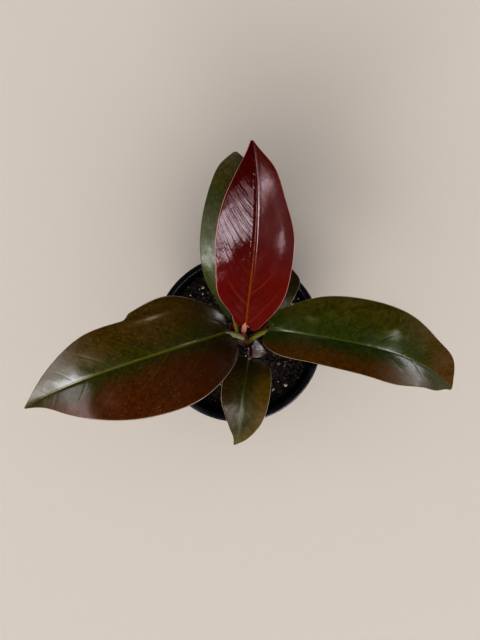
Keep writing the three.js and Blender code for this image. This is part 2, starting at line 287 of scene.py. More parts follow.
def patch_group():
    """Two colours in uneven patches: First where the pattern is under Low, Second where over High."""
    tree = bpy.data.node_groups.new("patches", "ShaderNodeTree")
    for name in ("Scale", "Detail", "Low", "High"):
        tree.interface.new_socket(name, in_out="INPUT", socket_type="NodeSocketFloat")
    for name in ("First", "Second"):
        tree.interface.new_socket(name, in_out="INPUT", socket_type="NodeSocketColor")
    tree.interface.new_socket("Pattern", in_out="OUTPUT", socket_type="NodeSocketFloat")
    tree.interface.new_socket("Colour", in_out="OUTPUT", socket_type="NodeSocketColor")
    given = tree.nodes.new("NodeGroupInput").outputs
    result = tree.nodes.new("NodeGroupOutput").inputs
    pattern = patchy(tree, own_place(tree), given["Scale"], given["Detail"])
    share = ramp(tree, pattern, given["Low"], given["High"])
    tree.links.new(pattern, result["Pattern"])
    tree.links.new(blend_colour(tree, share, given["First"], given["Second"]), result["Colour"])
    return tree


PATCHES = patch_group()


def patchy_material(name, roughness, scale, detail, low, high, first, second):
    """A material in two colours, with the pattern of its patches."""
    material, tree, shader = new_material(name, roughness)
    patches = add_node(
        tree, "ShaderNodeGroup",
        {"Scale": scale, "Detail": detail, "Low": low, "High": high, "First": first, "Second": second},
        node_tree=PATCHES).outputs
    tree.links.new(patches["Colour"], shader.inputs["Base Color"])
    return material, tree, shader, patches["Pattern"]


def add_relief(tree, shader, height, strength, depth, sunk=False):
    """Fine relief on a shader, of a depth in metres. With sunk, ridges turn into hollows."""
    bump = add_node(tree, "ShaderNodeBump", {"Height": height, "Strength": strength, "Distance": depth})
    bump.invert = sunk
    tree.links.new(bump.outputs["Normal"], shader.inputs["Normal"])


POT_PROFILE = [
    (BASE_RADIUS - 1.5, 0), (BASE_RADIUS - 0.3, 0.4), (BASE_RADIUS + 0.8, 1.6),
    (pot_inner_radius(POT_HEIGHT - 6) + POT_WALL, POT_HEIGHT - 6),
    (BORE_RADIUS + POT_WALL + 0.5, POT_HEIGHT - POT_WALL - 0.7),
    (RIM_RADIUS - POT_WALL - 1.0, POT_HEIGHT - POT_WALL - 0.3),
    (RIM_RADIUS - POT_WALL - 0.4, POT_HEIGHT - POT_WALL - 1.2),
    (RIM_RADIUS - POT_WALL - 0.4, POT_HEIGHT - RIM_SKIRT + 0.3),
    (RIM_RADIUS - POT_WALL - 0.1, POT_HEIGHT - RIM_SKIRT),
    (RIM_RADIUS - 0.7, POT_HEIGHT - RIM_SKIRT), (RIM_RADIUS - 0.4, POT_HEIGHT - RIM_SKIRT + 0.4),
    (RIM_RADIUS, POT_HEIGHT - 2.4), (RIM_RADIUS - 0.15, POT_HEIGHT - 1.4),
    (RIM_RADIUS - 0.6, POT_HEIGHT - 0.6), (RIM_RADIUS - 1.4, POT_HEIGHT - 0.12),
    (RIM_RADIUS - 2.4, POT_HEIGHT), (BORE_RADIUS + 1.6, POT_HEIGHT - 0.1),
    (BORE_RADIUS + 0.7, POT_HEIGHT - 0.4), (BORE_RADIUS + 0.2, POT_HEIGHT - 1.0),
    (BORE_RADIUS, POT_HEIGHT - 2.0), (pot_inner_radius(POT_WALL + 1.2), POT_WALL + 1.2),
    (pot_inner_radius(POT_WALL) - 1.2, POT_WALL),
]
pot = turned_solid("pot_shell", POT_PROFILE, 160)
for k in range(DRAIN_HOLES):
    turn = 2 * math.pi * k / DRAIN_HOLES
    bpy.ops.object.select_all(action="DESELECT")
    bpy.ops.mesh.primitive_cylinder_add(
        vertices=24, radius=DRAIN_HOLE_RADIUS * MM, depth=8 * MM,
        location=(DRAIN_RING_RADIUS * MM * math.cos(turn), DRAIN_RING_RADIUS * MM * math.sin(turn), 0))
    drill = bpy.context.object
    apply_modifier(pot, "drain_hole", "BOOLEAN", object=drill, operation="DIFFERENCE", solver="EXACT")
    bpy.data.objects.remove(drill)
smooth(pot, 35)

pot_material, tree, shader = new_material("pot_black_plastic")
place = own_place(tree)
dust = patchy(tree, place, scale=60.0, detail=6.0)
dust_share = ramp(tree, dust, 0.5, 0.8, 0.0, 0.5)
pot_colour = blend_colour(tree, dust_share, rgb(24, 24, 30), rgb(60, 58, 64))
tree.links.new(pot_colour, shader.inputs["Base Color"])
tree.links.new(ramp(tree, dust, 0.3, 0.75, 0.2, 0.42), shader.inputs["Roughness"])
grain = patchy(tree, place, scale=900.0, detail=3.0)
add_relief(tree, shader, grain, strength=0.15, depth=0.0002)
pot.data.materials.append(pot_material)
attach(pot, "root")
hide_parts("nursery_pot")


# ---- Potting soil --------------------------------------------------
# A bed of dark moist peat fills the pot to 12 mm below the rim. Its face is rough with crumbs
# of peat, a few chips of bark and fine white perlite, all lying loose on each other.
SOIL_BELOW_RIM = 12.0
SOIL_TOP = POT_HEIGHT - SOIL_BELOW_RIM
SOIL_MOUND = 3.0
SOIL_CLEARANCE = 0.5
SOIL_EDGE = pot_inner_radius(SOIL_TOP) - SOIL_CLEARANCE
SOIL_RINGS = 46
SOIL_SHOULDER = 1.5
CLOD_HEIGHT = 1.6
CRUMB_HEIGHT = 0.8
STEM_PLACE = Vector((3.0, -1.0))
STEM_CLEARANCE = 7.0
FULL_TURN = 6.28
GRAIN_TILT = 0.6


def soil_height(x, y):
    """The height of the soil's face, in mm, at a place: a low mound, broken up by clods."""
    radius = math.hypot(x, y)
    mound = SOIL_MOUND * max(0.0, 1 - (radius / SOIL_EDGE) ** 2)
    clods = noise.noise(Vector((x, y, 0)) * 0.09) * CLOD_HEIGHT
    crumbs = noise.noise(Vector((x, y, 5)) * 0.45) * CRUMB_HEIGHT
    return SOIL_TOP + mound + clods + crumbs


SOIL_PROFILE = [(pot_inner_radius(1.7) - 1.4, 1.75), (pot_inner_radius(3) - 0.35, 3.0)]
SOIL_PROFILE += [(SOIL_EDGE, SOIL_TOP - SOIL_SHOULDER)]
for k in range(1, SOIL_RINGS):
    ring_height = SOIL_TOP - SOIL_SHOULDER + min(SOIL_SHOULDER, k)
    SOIL_PROFILE.append((SOIL_EDGE * (1 - k / SOIL_RINGS), ring_height))
soil = turned_solid("soil_bed", SOIL_PROFILE, 144)
for vertex in soil.data.vertices:
    x, y, z = vertex.co / MM
    if z > SOIL_TOP - 1:
        vertex.co.z = soil_height(x, y) * MM
smooth(soil, 60)

soil_material, tree, shader, clods = patchy_material(
    "soil_peat", 0.9, scale=300.0, detail=8.0, low=0.35, high=0.75,
    first=rgb(14, 12, 11), second=rgb(62, 52, 44))
shader.inputs["Specular IOR Level"].default_value = 0.25
add_relief(tree, shader, clods, strength=0.9, depth=0.001)
soil.data.materials.append(soil_material)
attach(soil, "root")
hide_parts("potting_soil")


def scatter(name, count, smallest, largest, seed, lift, flat=0.7):
    """Loose grains of uneven size on the soil's face, joined into one piece."""
    dice = random.Random(seed)
    bpy.ops.object.select_all(action="DESELECT")
    bpy.ops.mesh.primitive_ico_sphere_add(subdivisions=1, radius=1.0)
    pattern = bpy.context.object
    vertices = []
    faces = []
    start = [tuple(v.co) for v in pattern.data.vertices]
    sides = [tuple(f.vertices) for f in pattern.data.polygons]
    for _ in range(count):
        while True:
            x = dice.uniform(-SOIL_EDGE, SOIL_EDGE)
            y = dice.uniform(-SOIL_EDGE, SOIL_EDGE)
            size = smallest + (largest - smallest) * dice.random() ** 2.2
            clear = math.hypot(x - STEM_PLACE.x, y - STEM_PLACE.y) > STEM_CLEARANCE
            if math.hypot(x, y) < SOIL_EDGE - size and clear:
                break
        turn = Matrix.Rotation(dice.uniform(0, FULL_TURN), 3, "Z")
        turn = turn @ Matrix.Rotation(dice.uniform(-GRAIN_TILT, GRAIN_TILT), 3, "X")
        stretch = Vector((dice.uniform(0.8, 1.4), dice.uniform(0.7, 1.1), flat * dice.uniform(0.8, 1.1)))
        base = len(vertices)
        middle = Vector((x, y, soil_height(x, y) + size * lift))
        for point in start:
            corner = Vector(point) * dice.uniform(0.8, 1.15)
            vertices.append(tuple((middle + turn @ (corner * stretch) * size) * MM))
        faces.extend(tuple(base + i for i in side) for side in sides)
    pattern.data.clear_geometry()
    pattern.data.from_pydata(vertices, [], faces)
    pattern.data.update()
    pattern.name = name
    return pattern


crumbs = scatter("soil_crumbs", count=1500, smallest=0.5, largest=2.2, seed=11, lift=0.1)
crumb_material, tree, shader, patches = patchy_material(
    "soil_crumb", 0.85, scale=500.0, detail=3.0, low=0.45, high=0.7,
    first=rgb(18, 15, 13), second=rgb(84, 68, 56))
add_relief(tree, shader, patches, strength=0.6, depth=0.0004)
crumbs.data.materials.append(crumb_material)
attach(crumbs, "root")

chips = scatter("soil_bark_chips", count=60, smallest=1.2, largest=3.4, seed=23, lift=0.2, flat=0.35)
chip_material = patchy_material(
    "bark_chip", 0.8, scale=700.0, detail=4.0, low=0.35, high=0.7,
    first=rgb(24, 15, 10), second=rgb(92, 62, 42))[0]
chips.data.materials.append(chip_material)
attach(chips, "root")


# ---- Perlite -------------------------------------------------------
# Expanded white volcanic grains, mixed into the soil so that it drains. The twenty largest
# keep their places from the frame; several hundred fine ones lie between them.
perlite_material, tree, shader, _ = patchy_material(
    "perlite_white", 0.85, scale=260.0, detail=4.0, low=0.4, high=0.62,
    first=rgb(120, 104, 88), second=rgb(214, 205, 190))
pore_inputs = {"Vector": own_place(tree), "Scale": 2600.0}
pores = add_node(tree, "ShaderNodeTexVoronoi", pore_inputs).outputs["Distance"]
add_relief(tree, shader, pores, strength=0.5, depth=0.0002)

fines = scatter("perlite_fines", count=420, smallest=0.3, largest=1.25, seed=37, lift=0.75)
fines.data.materials.append(perlite_material)
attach(fines, "root")

perlite_dice = random.Random(41)
for node_name in sorted(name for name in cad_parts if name.startswith("perlite_")):
    low, high = (Vector(corner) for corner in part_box(node_name))
    middle = (low + high) / 2
    size = (high - low) / 2
    bpy.ops.object.select_all(action="DESELECT")
    bpy.ops.mesh.primitive_ico_sphere_add(subdivisions=3, radius=1.0)
    grain = bpy.context.object
    grain.name = node_name + "_grain"
    shift = Vector((perlite_dice.uniform(0, 50), perlite_dice.uniform(0, 50), 0))
    for vertex in grain.data.vertices:
        lump = 0.84 + 0.32 * noise.noise(vertex.co * 1.7 + shift)
        lump += 0.12 * noise.noise(vertex.co * 6 + shift)
        vertex.co = vertex.co * size * min(lump, 1.0) + middle
    smooth(grain, 50)
    grain.data.materials.append(perlite_material)
    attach(grain, "root")
    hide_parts(node_name)


# ---- Roots ---------------------------------------------------------
# Pale fleshy main roots grow out of the stem's foot, all hidden in the soil. The frame's own
# shape is right and stays; it only gets its root skin.
root_material, tree, shader, skin = patchy_material(
    "root_skin", 0.7, scale=180.0, detail=5.0, low=0.35, high=0.7,
    first=rgb(150, 120, 84), second=rgb(214, 194, 156))
add_relief(tree, shader, skin, strength=0.4, depth=0.0005)
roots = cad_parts["roots"]
for material_slot in roots.material_slots:
    material_slot.material = root_material


# ---- Stem ----------------------------------------------------------
# A short fleshy stem with closely set rings, where old leaves were joined. It leans a little
# and is green-brown and waxy, with drier, browner rings.
STEM_RADIUS = 6.5
STEM_TOP_RADIUS = 4.5
STEM_BURIED = 30.0
STEM_ABOVE_SOIL = 30.0
STEM_FOOT = SOIL_TOP - STEM_BURIED
STEM_TOP = SOIL_TOP + SOIL_MOUND + STEM_ABOVE_SOIL
SCAR_HEIGHT = 0.7
SCAR_RATE = 40.0           # radians of a wave along the stem: each crest of it is a scar
SCAR_INSET = 0.2
STEM_PATH = [(3, -1, STEM_FOOT), (3, -1, SOIL_TOP), (4, 1, STEM_TOP)]


def path_through(points):
    """A function from 0..1 to the place and direction, in mm, on a smooth path through three points."""
    first, middle, last = (Vector(p) for p in points)
    share = (middle - first).length / ((middle - first).length + (last - middle).length)
    # a quadratic curve that passes through the middle point at that share of the way
    control = (middle - (1 - share) ** 2 * first - share ** 2 * last) / (2 * share * (1 - share))

    def at(t):
        place = (1 - t) ** 2 * first + 2 * t * (1 - t) * control + t * t * last
        heading = (2 * (1 - t) * (control - first) + 2 * t * (last - control)).normalized()
        return place, heading
    return at


def grown_rod(name, path, radius_at, sides=20, rings=36):
    """A tapering rod: a cylinder is cut into rings, which are then laid along a path."""
    bpy.ops.object.select_all(action="DESELECT")
    bpy.ops.mesh.primitive_cylinder_add(vertices=sides, radius=1, depth=1, location=(0, 0, 0.5))
    rod = bpy.context.object
    rod.name = name
    bpy.ops.object.transform_apply(location=True, rotation=True, scale=True)
    bpy.ops.object.mode_set(mode="EDIT")
    for k in range(1, rings):
        bpy.ops.mesh.select_all(action="SELECT")
        bpy.ops.mesh.bisect(plane_co=(0, 0, k / rings), plane_no=(0, 0, 1))
    leave_edit_mode()
    share_layer = rod.data.attributes.new("share", "FLOAT", "POINT")
    for vertex in rod.data.vertices:
        share = min(1.0, max(0.0, vertex.co.z))
        share_layer.data[vertex.index].value = share
        place, heading = path(share)
        side = Vector((0, 1, 0)).cross(heading).normalized()
        front = heading.cross(side)
        radius = radius_at(share, math.atan2(vertex.co.y, vertex.co.x))
        vertex.co = (place + (side * vertex.co.x + front * vertex.co.y) * radius) * MM
    apply_modifier(rod, "round_out", "SUBSURF", levels=1, render_levels=1)
    smooth(rod, 60)
    return rod


def stem_radius(share, angle):
    """The stem's radius, in mm, a share of the way up: it tapers and swells at each leaf scar."""
    scars = SCAR_HEIGHT * max(0.0, math.cos(share * SCAR_RATE + 0.3 * math.sin(angle))) ** 3
    return STEM_RADIUS + (STEM_TOP_RADIUS - STEM_RADIUS) * share + scars - SCAR_INSET


stem = grown_rod("stem_skin", path_through(STEM_PATH), stem_radius, sides=28, rings=70)
stem_material, tree, shader = new_material("stem_waxy", roughness=0.45)
place = own_place(tree)
share = add_node(tree, "ShaderNodeAttribute", attribute_name="share").outputs["Fac"]
ring = maths(tree, "PINGPONG", maths(tree, "MULTIPLY", share, 6.4), 0.5)
patches = patchy(tree, place, scale=240.0, detail=5.0)
# The stem's own green-brown and red-brown, painted darker as shade from the stalks and leaves over it.
fleshy_with_painted_shade = blend_colour(tree, ramp(tree, patches, 0.35, 0.65), rgb(74, 66, 28), rgb(100, 46, 30))
dry = blend_colour(tree, ramp(tree, ring, 0.0, 0.14, 1.0, 0.0), fleshy_with_painted_shade, rgb(104, 76, 58))
tree.links.new(dry, shader.inputs["Base Color"])
add_relief(tree, shader, patches, strength=0.35, depth=0.0004)
stem.data.materials.append(stem_material)
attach(stem, "root")
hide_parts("stem")


# ---- Leaf blades ---------------------------------------------------
# Six leathery, glossy blades, each grown in one piece: a sunken midrib, side veins that sweep
# forward, and a thin pale margin. Two large old leaves lie out to the sides, one stands behind,
# two small ones sit low, and the newest rises in the middle, still red.
WIDTH_STATIONS = [0.07, 0.22, 0.40, 0.58, 0.75, 0.88]
SHEET_THICKNESS = 0.7
RIB_THICKNESS = 2.4
CURVE_STEPS = 200
JOINT_CROWDING = 1.15      # rows of the mesh lie closer together near the joint
MIDRIB_CROWDING = 1.25     # and its columns near the midrib
ROW_BEND = 1.2
GROOVE_DEPTH = 0.5
GROOVE_WIDTH = 1.3
LIP_PLACE = 2.0
LIP_WIDTH = 0.8
NOTCH_OPENING = 0.015
NOTCH_LENGTH = 0.09
VEIN_OFFSET = 0.35         # the veins of one half start this much of a step later
RIPPLE = 0.25
WAVE_RATE = 13
HALF_SHIFT = 1.7           # the two halves wave out of step
RIB_REACH = 2.2
GROOVE_FADE = 0.6          # the shares of groove and rib that are gone at the tip
RIB_FADE = 0.75


def bezier(points, t):
    """The place on a smooth curve led by four points."""
    a, b, c, d = points
    s = 1 - t
    return s ** 3 * a + 3 * s * s * t * b + 3 * s * t * t * c + t ** 3 * d


def bezier_heading(points, t):
    """The direction of that curve."""
    a, b, c, d = points
    s = 1 - t
    return (3 * s * s * (b - a) + 6 * s * t * (c - b) + 3 * t * t * (d - c)).normalized()


def centripetal_point(points, lengths, distance):
    """The place at a distance along a smooth curve through 2-D points (a Catmull-Rom curve)."""
    k = 1
    while k < len(points) - 1 and lengths[k] < distance:
        k += 1
    span = max(1e-9, lengths[k] - lengths[k - 1])
    t = min(1.0, max(0.0, (distance - lengths[k - 1]) / span))
    p1, p2 = points[k - 1], points[k]
    p0 = points[k - 2] if k >= 2 else 2 * p1 - p2
    p3 = points[k + 1] if k + 1 < len(points) else 2 * p2 - p1
    d1 = max(1e-6, (p1 - p0).length)
    d2 = max(1e-6, (p2 - p1).length)
    d3 = max(1e-6, (p3 - p2).length)
    m1 = d2 * ((p1 - p0) / d1 * (d2 / (d1 + d2)) + (p2 - p1) / d2 * (d1 / (d1 + d2)))
    m2 = d2 * ((p2 - p1) / d2 * (d3 / (d2 + d3)) + (p3 - p2) / d3 * (d2 / (d2 + d3)))
    t2, t3 = t * t, t * t * t
    return (2 * t3 - 3 * t2 + 1) * p1 + (t3 - 2 * t2 + t) * m1 + (3 * t2 - 2 * t3) * p2 + (t3 - t2) * m2


def margin_curve(widths, lobe, length):
    """One half of a leaf's outline, from the joint to the tip, in mm along and across."""
    base = widths[0]
    points = [(0, 1.2), (-lobe, 0.3 * base), (-0.6 * lobe, 0.55 * base), (0.02 * length, 0.78 * base)]
    points += [(station * length, width) for station, width in zip(WIDTH_STATIONS, widths)]
    points += [(0.955 * length, 0.36 * widths[5]), (length, 0.4)]
    points = [Vector(p) for p in points]
    lengths = [0.0]
    for first, second in zip(points, points[1:]):
        lengths.append(lengths[-1] + (second - first).length)

    def at(share):
        return centripetal_point(points, lengths, share * lengths[-1])
    return at


def leaf_blade(name, rib, left, right, roll=0.0, rows=90, columns=48, rib_scale=1.0, swells=(),
               wave=0.6, sweep_share=0.33, side_veins=9.0, quilt=0.1, far_quilt=1.0, lips=0.0,
               notch=(0.0, 0, 0.0), ragged=0.0):
    """A blade in mm above the soil. Each half has its widths, lobe, fold and curl (degrees).
    A swell is (along, across, reach along, reach across, height): a place where the sheet lifts.
    A notch is (along, side, depth): a step in the margin of one side."""
    rib = [Vector(p) + Vector((0, 0, SOIL_TOP)) for p in rib]
    steps = [bezier(rib, k / CURVE_STEPS) for k in range(CURVE_STEPS + 1)]
    arcs = [0.0]
    for first, second in zip(steps, steps[1:]):
        arcs.append(arcs[-1] + (second - first).length)
    length = arcs[-1]
    notch_along, notch_side, notch_depth = notch

    def rib_share(distance):
        """How far through the midrib's curve a distance along it is."""
        low = min(bisect.bisect_right(arcs, distance), CURVE_STEPS) - 1
        return (low + (distance - arcs[low]) / max(1e-9, arcs[low + 1] - arcs[low])) / CURVE_STEPS

    halves = {1: left, -1: right}
    margins = {side: margin_curve(half["widths"], half["lobe"], length) for side, half in halves.items()}
    bpy.ops.object.select_all(action="DESELECT")
    bpy.ops.mesh.primitive_grid_add(x_subdivisions=rows, y_subdivisions=columns, size=2)
    leaf = bpy.context.object
    leaf.name = name
    mesh = leaf.data
    places = {}
    thick = leaf.vertex_groups.new(name="rib")
    for vertex in mesh.vertices:
        share = (vertex.co.x + 1) / 2
        side = 1 if vertex.co.y >= 0 else -1
        half = halves[side]
        outward = abs(vertex.co.y) ** MIDRIB_CROWDING
        margin = margins[side](share)
        start = length * share ** JOINT_CROWDING
        along = start + (margin.x - start) * outward ** ROW_BEND
        reach = margin.y * outward
        if side == notch_side:
            past = along / length - notch_along
            opened = min(1.0, max(0.0, past / NOTCH_OPENING))
            reach -= notch_depth * outward ** 4 * opened * math.exp(-max(0.0, past) / NOTCH_LENGTH)
        tear = noise.noise(Vector((along * 0.6, side * 3.0, 0.0)))
        tear += noise.noise(Vector((along * 1.7, side, 9.0)))
        reach *= 1 + ragged * tear * outward
        inside = min(length, max(0.0, along))
        t = rib_share(inside)
        point = bezier(rib, t)
        heading = bezier_heading(rib, t)
        point += heading * (along - inside)
        sideways = Vector((0, 0, 1)).cross(heading).normalized()
        normal = heading.cross(sideways)
        widest = max(half["widths"])
        lean = half["fold"] + 0.5 * half["curl"] * reach / widest
        angle = math.radians(lean + side * roll)
        point += sideways * (side * reach * math.cos(angle)) + normal * (reach * math.sin(angle))
        u = along / length
        v = reach / widest
        sweep = u - sweep_share * v * (0.5 + 0.5 * v)
        # the midrib lies in a groove, with a low lip along each side of it
        groove = GROOVE_DEPTH * rib_scale * math.exp(-(reach / (GROOVE_WIDTH * rib_scale)) ** 2)
        lift = -groove * (1 - GROOVE_FADE * share)
        from_lip = (reach - LIP_PLACE * rib_scale) / (LIP_WIDTH * rib_scale)
        lift += lips * math.exp(-from_lip ** 2) * (1 - share)
        # the sheet sinks at each side vein, waves at the margin and is a little uneven all over
        vein_phase = (sweep * side_veins + (VEIN_OFFSET if side > 0 else 0.0)) * 2 * math.pi
        quilting = quilt * (1.0 if side > 0 else far_quilt) * math.cos(vein_phase)
        lift -= quilting * min(1, v * 4) * (1 - v) * (1 - share ** 4)
        lift += wave * v * v * math.sin(u * WAVE_RATE + side * HALF_SHIFT + len(name))
        uneven = noise.noise(Vector((u * 10, side * v * 3.2, len(name))))
        lift += RIPPLE * uneven * min(1.0, v * 3)
        for swell_along, swell_across, reach_along, reach_across, height in swells:
            lengthways = (u - swell_along) / reach_along
            crossways = (side * v - swell_across) / reach_across
            lift += height * math.exp(-lengthways ** 2 - crossways ** 2)
        point += normal * lift
        places[vertex.index] = (u, side * v, outward)
        vertex.co = point * MM
        rib_near = math.exp(-(reach / (RIB_REACH * rib_scale)) ** 2) * (1 - RIB_FADE * share)
        thick.add([vertex.index], max(0.0, min(1.0, rib_near)), "REPLACE")
    layer = mesh.uv_layers[0]
    layer.name = "leaf"
    for loop in mesh.loops:
        u, v, outward = places[loop.vertex_index]
        layer.data[loop.index].uv = (u, 0.5 + 0.5 * v)
    edge = mesh.attributes.new("edge", "FLOAT", "POINT")
    for index, (u, v, outward) in places.items():
        edge.data[index].value = outward
    bpy.ops.object.mode_set(mode="EDIT")
    leave_edit_mode()
    if sum(face.normal.z for face in mesh.polygons) < 0:
        mesh.flip_normals()
    share_thin = SHEET_THICKNESS / (RIB_THICKNESS * rib_scale)
    apply_modifier(
        leaf, "sheet", "SOLIDIFY", thickness=RIB_THICKNESS * rib_scale * MM, offset=-1.0,
        vertex_group="rib", thickness_vertex_group=share_thin, material_offset=1, use_rim=True)
    apply_modifier(leaf, "round_out", "SUBSURF", levels=1, render_levels=1)
    choose(leaf)
    bpy.ops.object.shade_smooth()
    return leaf


def vein_group():
    """The vein pattern of a blade, read from its own map: along it, and across from the midrib."""
    tree = bpy.data.node_groups.new("leaf_veins", "ShaderNodeTree")
    for name, value in (("Sweep", 0.33), ("Side veins", 9.0), ("Main veins", 9.0), ("Fine veins", 70.0),
                        ("Far side", 1.0), ("Midrib width", 0.05)):
        socket = tree.interface.new_socket(name, in_out="INPUT", socket_type="NodeSocketFloat")
        socket.default_value = value
    given = tree.nodes.new("NodeGroupInput").outputs
    result = tree.nodes.new("NodeGroupOutput").inputs
    uv = add_node(tree, "ShaderNodeUVMap", uv_map="leaf").outputs["UV"]
    parts = add_node(tree, "ShaderNodeSeparateXYZ", {0: uv}).outputs
    along = parts["X"]
    signed = maths(tree, "MULTIPLY_ADD", parts["Y"], 2.0, -1.0)
    across = maths(tree, "ABSOLUTE", signed)
    place = own_place(tree)
    wander = patchy(tree, place, scale=30.0, detail=2.0)
    drift = maths(tree, "MULTIPLY_ADD", wander, 0.04, -0.02)
    forward = maths(tree, "MULTIPLY", across, maths(tree, "MULTIPLY_ADD", across, 0.5, 0.5))
    bend = maths(tree, "MULTIPLY", forward, given["Sweep"])
    sweep = maths(tree, "ADD", maths(tree, "SUBTRACT", along, bend), drift)
    near_side = maths(tree, "GREATER_THAN", signed, 0.0)
    later = maths(tree, "MULTIPLY", near_side, VEIN_OFFSET)
    phase = maths(tree, "ADD", maths(tree, "MULTIPLY", sweep, given["Side veins"]), later)
    saw = maths(tree, "PINGPONG", maths(tree, "ADD", phase, 40.0), 0.5)
    side_vein = ramp(tree, saw, 0.0, 0.09, 1.0, 0.0)
    to_margin = ramp(tree, across, 0.3, 0.95, 1.0, 0.0)
    fading = maths(tree, "MULTIPLY", to_margin, ramp(tree, wander, 0.3, 0.55, 0.35, 1.0))
    side_vein = maths(tree, "MULTIPLY", side_vein, fading)
    main_phase = maths(tree, "ADD", maths(tree, "MULTIPLY", sweep, given["Main veins"]), later)
    main_saw = maths(tree, "PINGPONG", maths(tree, "ADD", main_phase, 40.0), 0.5)
    main_vein = ramp(tree, main_saw, 0.0, 0.05, 1.0, 0.0)
    main_vein = maths(tree, "MULTIPLY", main_vein, ramp(tree, across, 0.5, 1.0, 1.0, 0.0))
    side_strength = maths(tree, "MAXIMUM", near_side, given["Far side"])
    side_vein = maths(tree, "MULTIPLY", side_vein, side_strength)
    fine_along = maths(tree, "MULTIPLY", sweep, given["Fine veins"])
    fine_across = maths(tree, "MULTIPLY", signed, 1.6)
    fine_place = add_node(tree, "ShaderNodeCombineXYZ", {"X": fine_along, "Y": fine_across}).outputs[0]
    fine = patchy(tree, fine_place, scale=1.0, detail=3.0)
    taper = maths(tree, "MULTIPLY", given["Midrib width"], maths(tree, "MULTIPLY_ADD", along, -0.65, 1.0))
    midrib = ramp(tree, across, 0.0, taper, 1.0, 0.0)
    edge = add_node(tree, "ShaderNodeAttribute", attribute_name="edge").outputs["Fac"]
    margin = ramp(tree, edge, 0.981, 0.993)
    spots = add_node(tree, "ShaderNodeTexVoronoi", {"Vector": place, "Scale": 640.0}).outputs
    chance = add_node(tree, "ShaderNodeSeparateXYZ", {0: spots["Color"]}).outputs["X"]
    fleck = maths(tree, "LESS_THAN", spots["Distance"], ramp(tree, chance, 0.5, 1.0, 0.06, 0.2))
    fleck = maths(tree, "MULTIPLY", fleck, maths(tree, "GREATER_THAN", chance, 0.5))
    cloud = patchy(tree, place, scale=28.0, detail=6.0, harshness=0.6)
    mottle = patchy(tree, place, scale=320.0, detail=4.0)
    height = maths(tree, "MULTIPLY", side_vein, -1.0)
    height = maths(tree, "MULTIPLY_ADD", maths(tree, "MULTIPLY", fine, side_strength), 0.9, height)
    height = maths(tree, "MULTIPLY_ADD", mottle, 0.3, height)
    height = maths(tree, "MULTIPLY_ADD", midrib, -1.5, height)
    for name, socket in (
            ("Along", along), ("Across", across), ("Midrib", midrib), ("Side vein", side_vein),
            ("Main vein", main_vein), ("Fine vein", fine), ("Margin", margin), ("Fleck", fleck),
            ("Cloud", cloud), ("Mottle", mottle), ("Height", height),
            ("Near half", ramp(tree, signed, -0.12, 0.12))):
        tree.interface.new_socket(name, in_out="OUTPUT", socket_type="NodeSocketFloat")
        tree.links.new(socket, result[name])
    return tree


LEAF_VEINS = vein_group()
FLECK_COLOUR = rgb(170, 160, 110)
# The black that a leaf's colour is blended towards: for its own dark mottle and veins, and for painted shade
# near its joint.
MOTTLE_AND_SHADE_BLACK = (0.0, 0.0, 0.0, 1.0)


